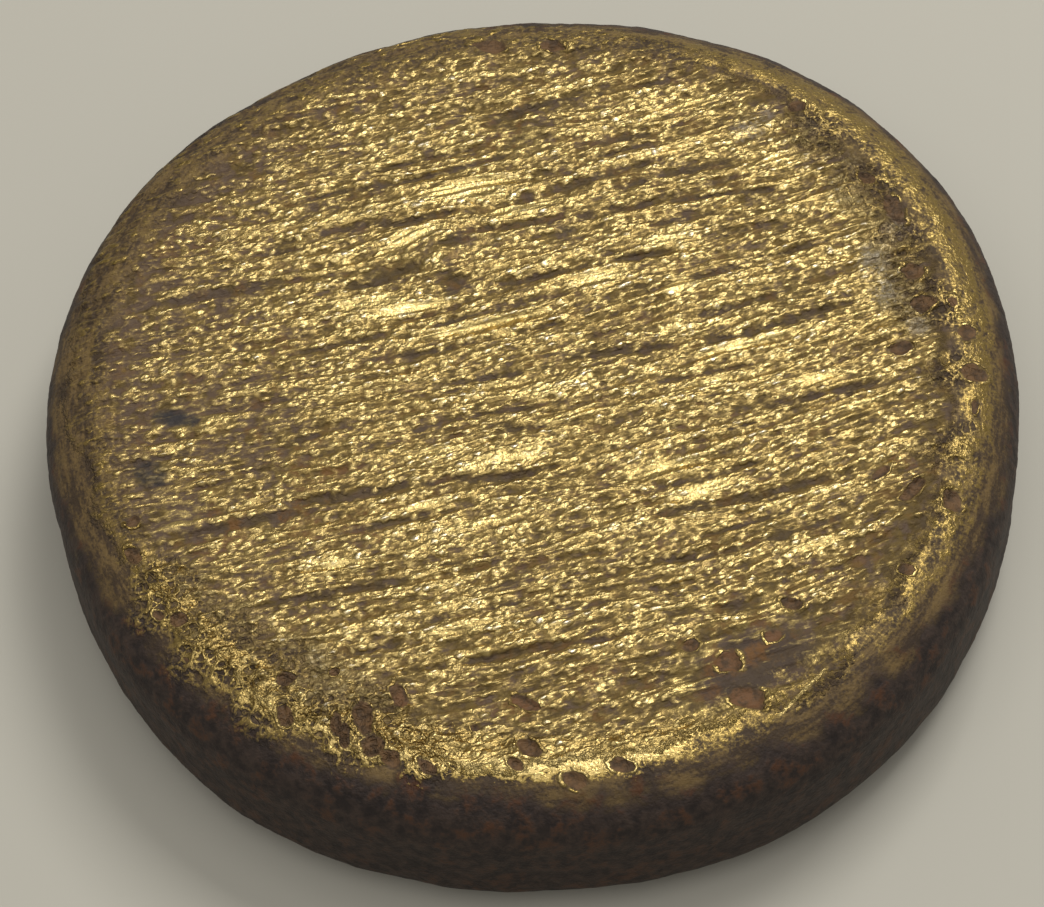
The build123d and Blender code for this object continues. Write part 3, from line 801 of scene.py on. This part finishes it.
# The palest, creamy gold on the highest bead tops is a painted highlight
gold_colour = blend(rise(paint, shine, 1.2, 3.0), gold_colour, painted_glint_gold)
gold_colour = blend(sum_of(paint, "MULTIPLY", smooth, 0.5), gold_colour, smooth_gold)
rim_shine = weigh((rim_score, 1.0, 0.0), (lips_and_glints, 1.0, 0.0), (scratch, 2.0, 0.0))
rim_shine = sum_of(paint, "ADD", rim_shine, rise(paint, bare, 0.6, 1.2, -0.6, 0.0))
rim_colour = blend(rise(paint, rim_shine, 0.7, 1.8), dull_rim_gold, clear_rim_gold)
rim_colour = blend(sum_of(paint, "MULTIPLY", netting, 0.5), rim_colour, net_gold)
gold_colour = blend(rise(paint, edge, -3.0, 2.0), gold_colour, rim_colour)
# Pale patches: a painted highlight of pale glints on the right of the face, a pale bloom elsewhere
bloom_and_glint = sum_of(paint, "MULTIPLY", tint, weigh((blots, 1.0, 0.0), (specks, 1.2, 0.5)))
bloom_and_glint = rise(paint, bloom_and_glint, 0.2, 0.7, 0.0, 0.6)
gold = sum_of(paint, "MULTIPLY", gold, sum_of(paint, "MULTIPLY_ADD", bloom_and_glint, -0.6, 1.0))
gold = sum_of(paint, "MULTIPLY", gold, sum_of(paint, "MULTIPLY_ADD", stain, -0.8, 1.0))
colour = blend(bloom_and_glint, blend(gold, oxide, gold_colour), pale_bloom_and_glint)
paint.links.new(colour, shader.inputs["Base Color"])
paint.links.new(gold, shader.inputs["Metallic"])
paint.links.new(rise(paint, gold, 0.0, 1.0, 0.62, 0.36), shader.inputs["Roughness"])
shader.inputs["Specular IOR Level"].default_value = 0.2
grit = sum_of(paint, "MULTIPLY", weigh((beads, 0.8, 0.0), (lumps, 1.2, 0.0)), rough)
texture = weigh((grit, 1.0, 0.0), (slats, 0.8, 0.0))
texture = sum_of(paint, "MULTIPLY", texture, rise(paint, grain_edge, 2.0, 0.0))
knobbly = sum_of(paint, "MAXIMUM", netting, rise(paint, edge, -3.0, 2.0, 0.0, 0.6))
knobs = sum_of(paint, "MULTIPLY", blots, knobbly)
texture = weigh(
    (texture, 1.0, 0.0), (specks, 0.45, 0.0), (walls, 0.7, 0.0), (lips_and_glints, 0.8, 0.0), (knobs, 2.0, 0.0),
)
bump = paint.nodes.new("ShaderNodeBump")
bump.inputs["Strength"].default_value = 1.0
bump.inputs["Distance"].default_value = texture_depth * mm
paint.links.new(texture, bump.inputs["Height"])
paint.links.new(bump.outputs[0], shader.inputs["Normal"])

coat.inputs["Material"].default_value = finish
casting = skin.modifiers.new("cast_grain", "NODES")
casting.node_group = relief
for socket in relief.interface.items_tree:
    if socket.in_out == "INPUT" and socket.socket_type == "NodeSocketFloat":
        casting[socket.identifier] = socket.default_value
finished = bpy.data.meshes.new_from_object(skin.evaluated_get(bpy.context.evaluated_depsgraph_get()))
skin.modifiers.remove(casting)
skin.data = finished
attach(skin, "root")
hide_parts("ingot")

# THE FLOOR
# A plain pale floor of matt board, which the ingot lies on. It is one flat sheet, wider than the view,
# and belongs to the setting and not to the ingot.
floor_size = 3.0
floor_mesh = bpy.data.meshes.new("floor")
half = floor_size / 2
floor_corners = [(-half, -half, 0), (half, -half, 0), (half, half, 0), (-half, half, 0)]
floor_mesh.from_pydata(floor_corners, [], [(0, 1, 2, 3)])
floor = bpy.data.objects.new("floor", floor_mesh)
bpy.context.scene.collection.objects.link(floor)
board_colour = (0.50, 0.475, 0.40, 1)
board = bpy.data.materials.new("pale_board")
board.use_nodes = True
board_shader = board.node_tree.nodes["Principled BSDF"]
board_shader.inputs["Base Color"].default_value = board_colour
board_shader.inputs["Roughness"].default_value = 0.9
floor_mesh.materials.append(board)

# LIGHT AND CAMERA
# A broad soft light stands beyond the ingot and a weaker one above it, in a dim even room.
# The camera looks down at the ingot from where the photograph was taken, with its tilt and roll.
target = Vector((-0.0022, -0.0048, 0.0155))


def soft_light(name, position, size, watts):
    """A square of even light turned to the ingot."""
    lamp = bpy.data.lights.new(name, "AREA")
    lamp.shape = "SQUARE"
    lamp.size = size
    lamp.energy = watts
    lamp_object = bpy.data.objects.new(name, lamp)
    lamp_object.location = position
    lamp_object.rotation_euler = (target - Vector(position)).to_track_quat("-Z", "Y").to_euler()
    bpy.context.scene.collection.objects.link(lamp_object)


soft_light("key", (0.35, 0.45, 0.95), 0.45, 6.5)
soft_light("overhead", (-0.1, -0.2, 1.1), 1.0, 4.0)
room = bpy.data.worlds.new("room")
room.use_nodes = True
room_air = room.node_tree.nodes["Background"]
room_air.inputs["Color"].default_value = (1.0, 0.98, 0.95, 1)
room_air.inputs["Strength"].default_value = 0.3
bpy.context.scene.world = room
bpy.context.scene.view_settings.view_transform = "Standard"

lift = math.radians(59.08)
roll = math.radians(-4.53)
distance = 0.48
view = bpy.data.cameras.new("view")
view.sensor_width = 36.0
view.sensor_fit = "HORIZONTAL"
view.lens = 101.24
view.clip_start = 0.01
camera = bpy.data.objects.new("view", view)
camera.location = target + Vector((0, -math.cos(lift), math.sin(lift))) * distance
turned = Euler((math.pi / 2 - lift, 0, 0)).to_matrix() @ Matrix.Rotation(roll, 3, "Z")
camera.rotation_euler = turned.to_euler()
bpy.context.scene.collection.objects.link(camera)
bpy.context.scene.camera = camera
